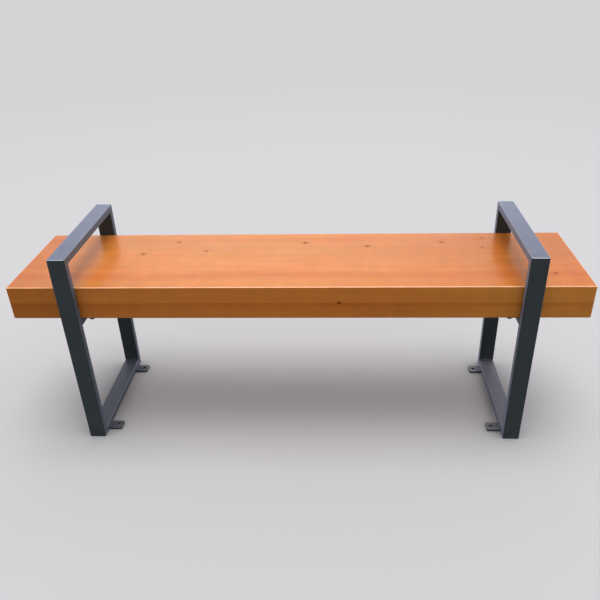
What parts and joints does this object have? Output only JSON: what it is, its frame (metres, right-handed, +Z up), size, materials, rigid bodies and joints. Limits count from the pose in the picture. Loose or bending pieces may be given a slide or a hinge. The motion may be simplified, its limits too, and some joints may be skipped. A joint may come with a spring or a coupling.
{
  "type": "backless bench",
  "caption": "Backless street bench: a thick glued timber seat held in closed loops of flat steel tube that stand on the ground and form armrests above the seat.",
  "frame": {"origin": "on the ground under the centre of the bench", "axes": "+X along the seat, +Z up, the front of the bench faces -Y"},
  "size_m": [1.5, 0.374, 0.57],
  "materials": {
    "seat_top_wood": "stained orange-brown under semi-gloss varnish",
    "seat_bottom_wood": "stained orange-brown under semi-gloss varnish",
    "frame_paint": "fine-textured anthracite powder coat, satin",
    "black_steel": "black zinc plated, satin"
  },
  "bodies": {
    "root": {"seat_top_front_board": "seat_top_wood", "seat_top_middle_board": "seat_top_wood", "seat_top_rear_board": "seat_top_wood", "seat_bottom_front_board": "seat_bottom_wood", "seat_bottom_front_inner_board": "seat_bottom_wood", "seat_bottom_rear_inner_board": "seat_bottom_wood", "seat_bottom_rear_board": "seat_bottom_wood", "left_front_upright": "frame_paint", "left_rear_upright": "frame_paint", "left_armrest": "frame_paint", "left_foot_rail": "frame_paint", "left_seat_rail": "frame_paint", "right_front_upright": "frame_paint", "right_rear_upright": "frame_paint", "right_armrest": "frame_paint", "right_foot_rail": "frame_paint", "right_seat_rail": "frame_paint", "left_front_ground_tab": "frame_paint", "left_rear_ground_tab": "frame_paint", "right_front_ground_tab": "frame_paint", "right_rear_ground_tab": "frame_paint", "left_front_seat_tab": "frame_paint", "left_rear_seat_tab": "frame_paint", "right_front_seat_tab": "frame_paint", "right_rear_seat_tab": "frame_paint", "seat_washers": "black_steel", "seat_screws": "black_steel"}
  },
  "joints": []
}
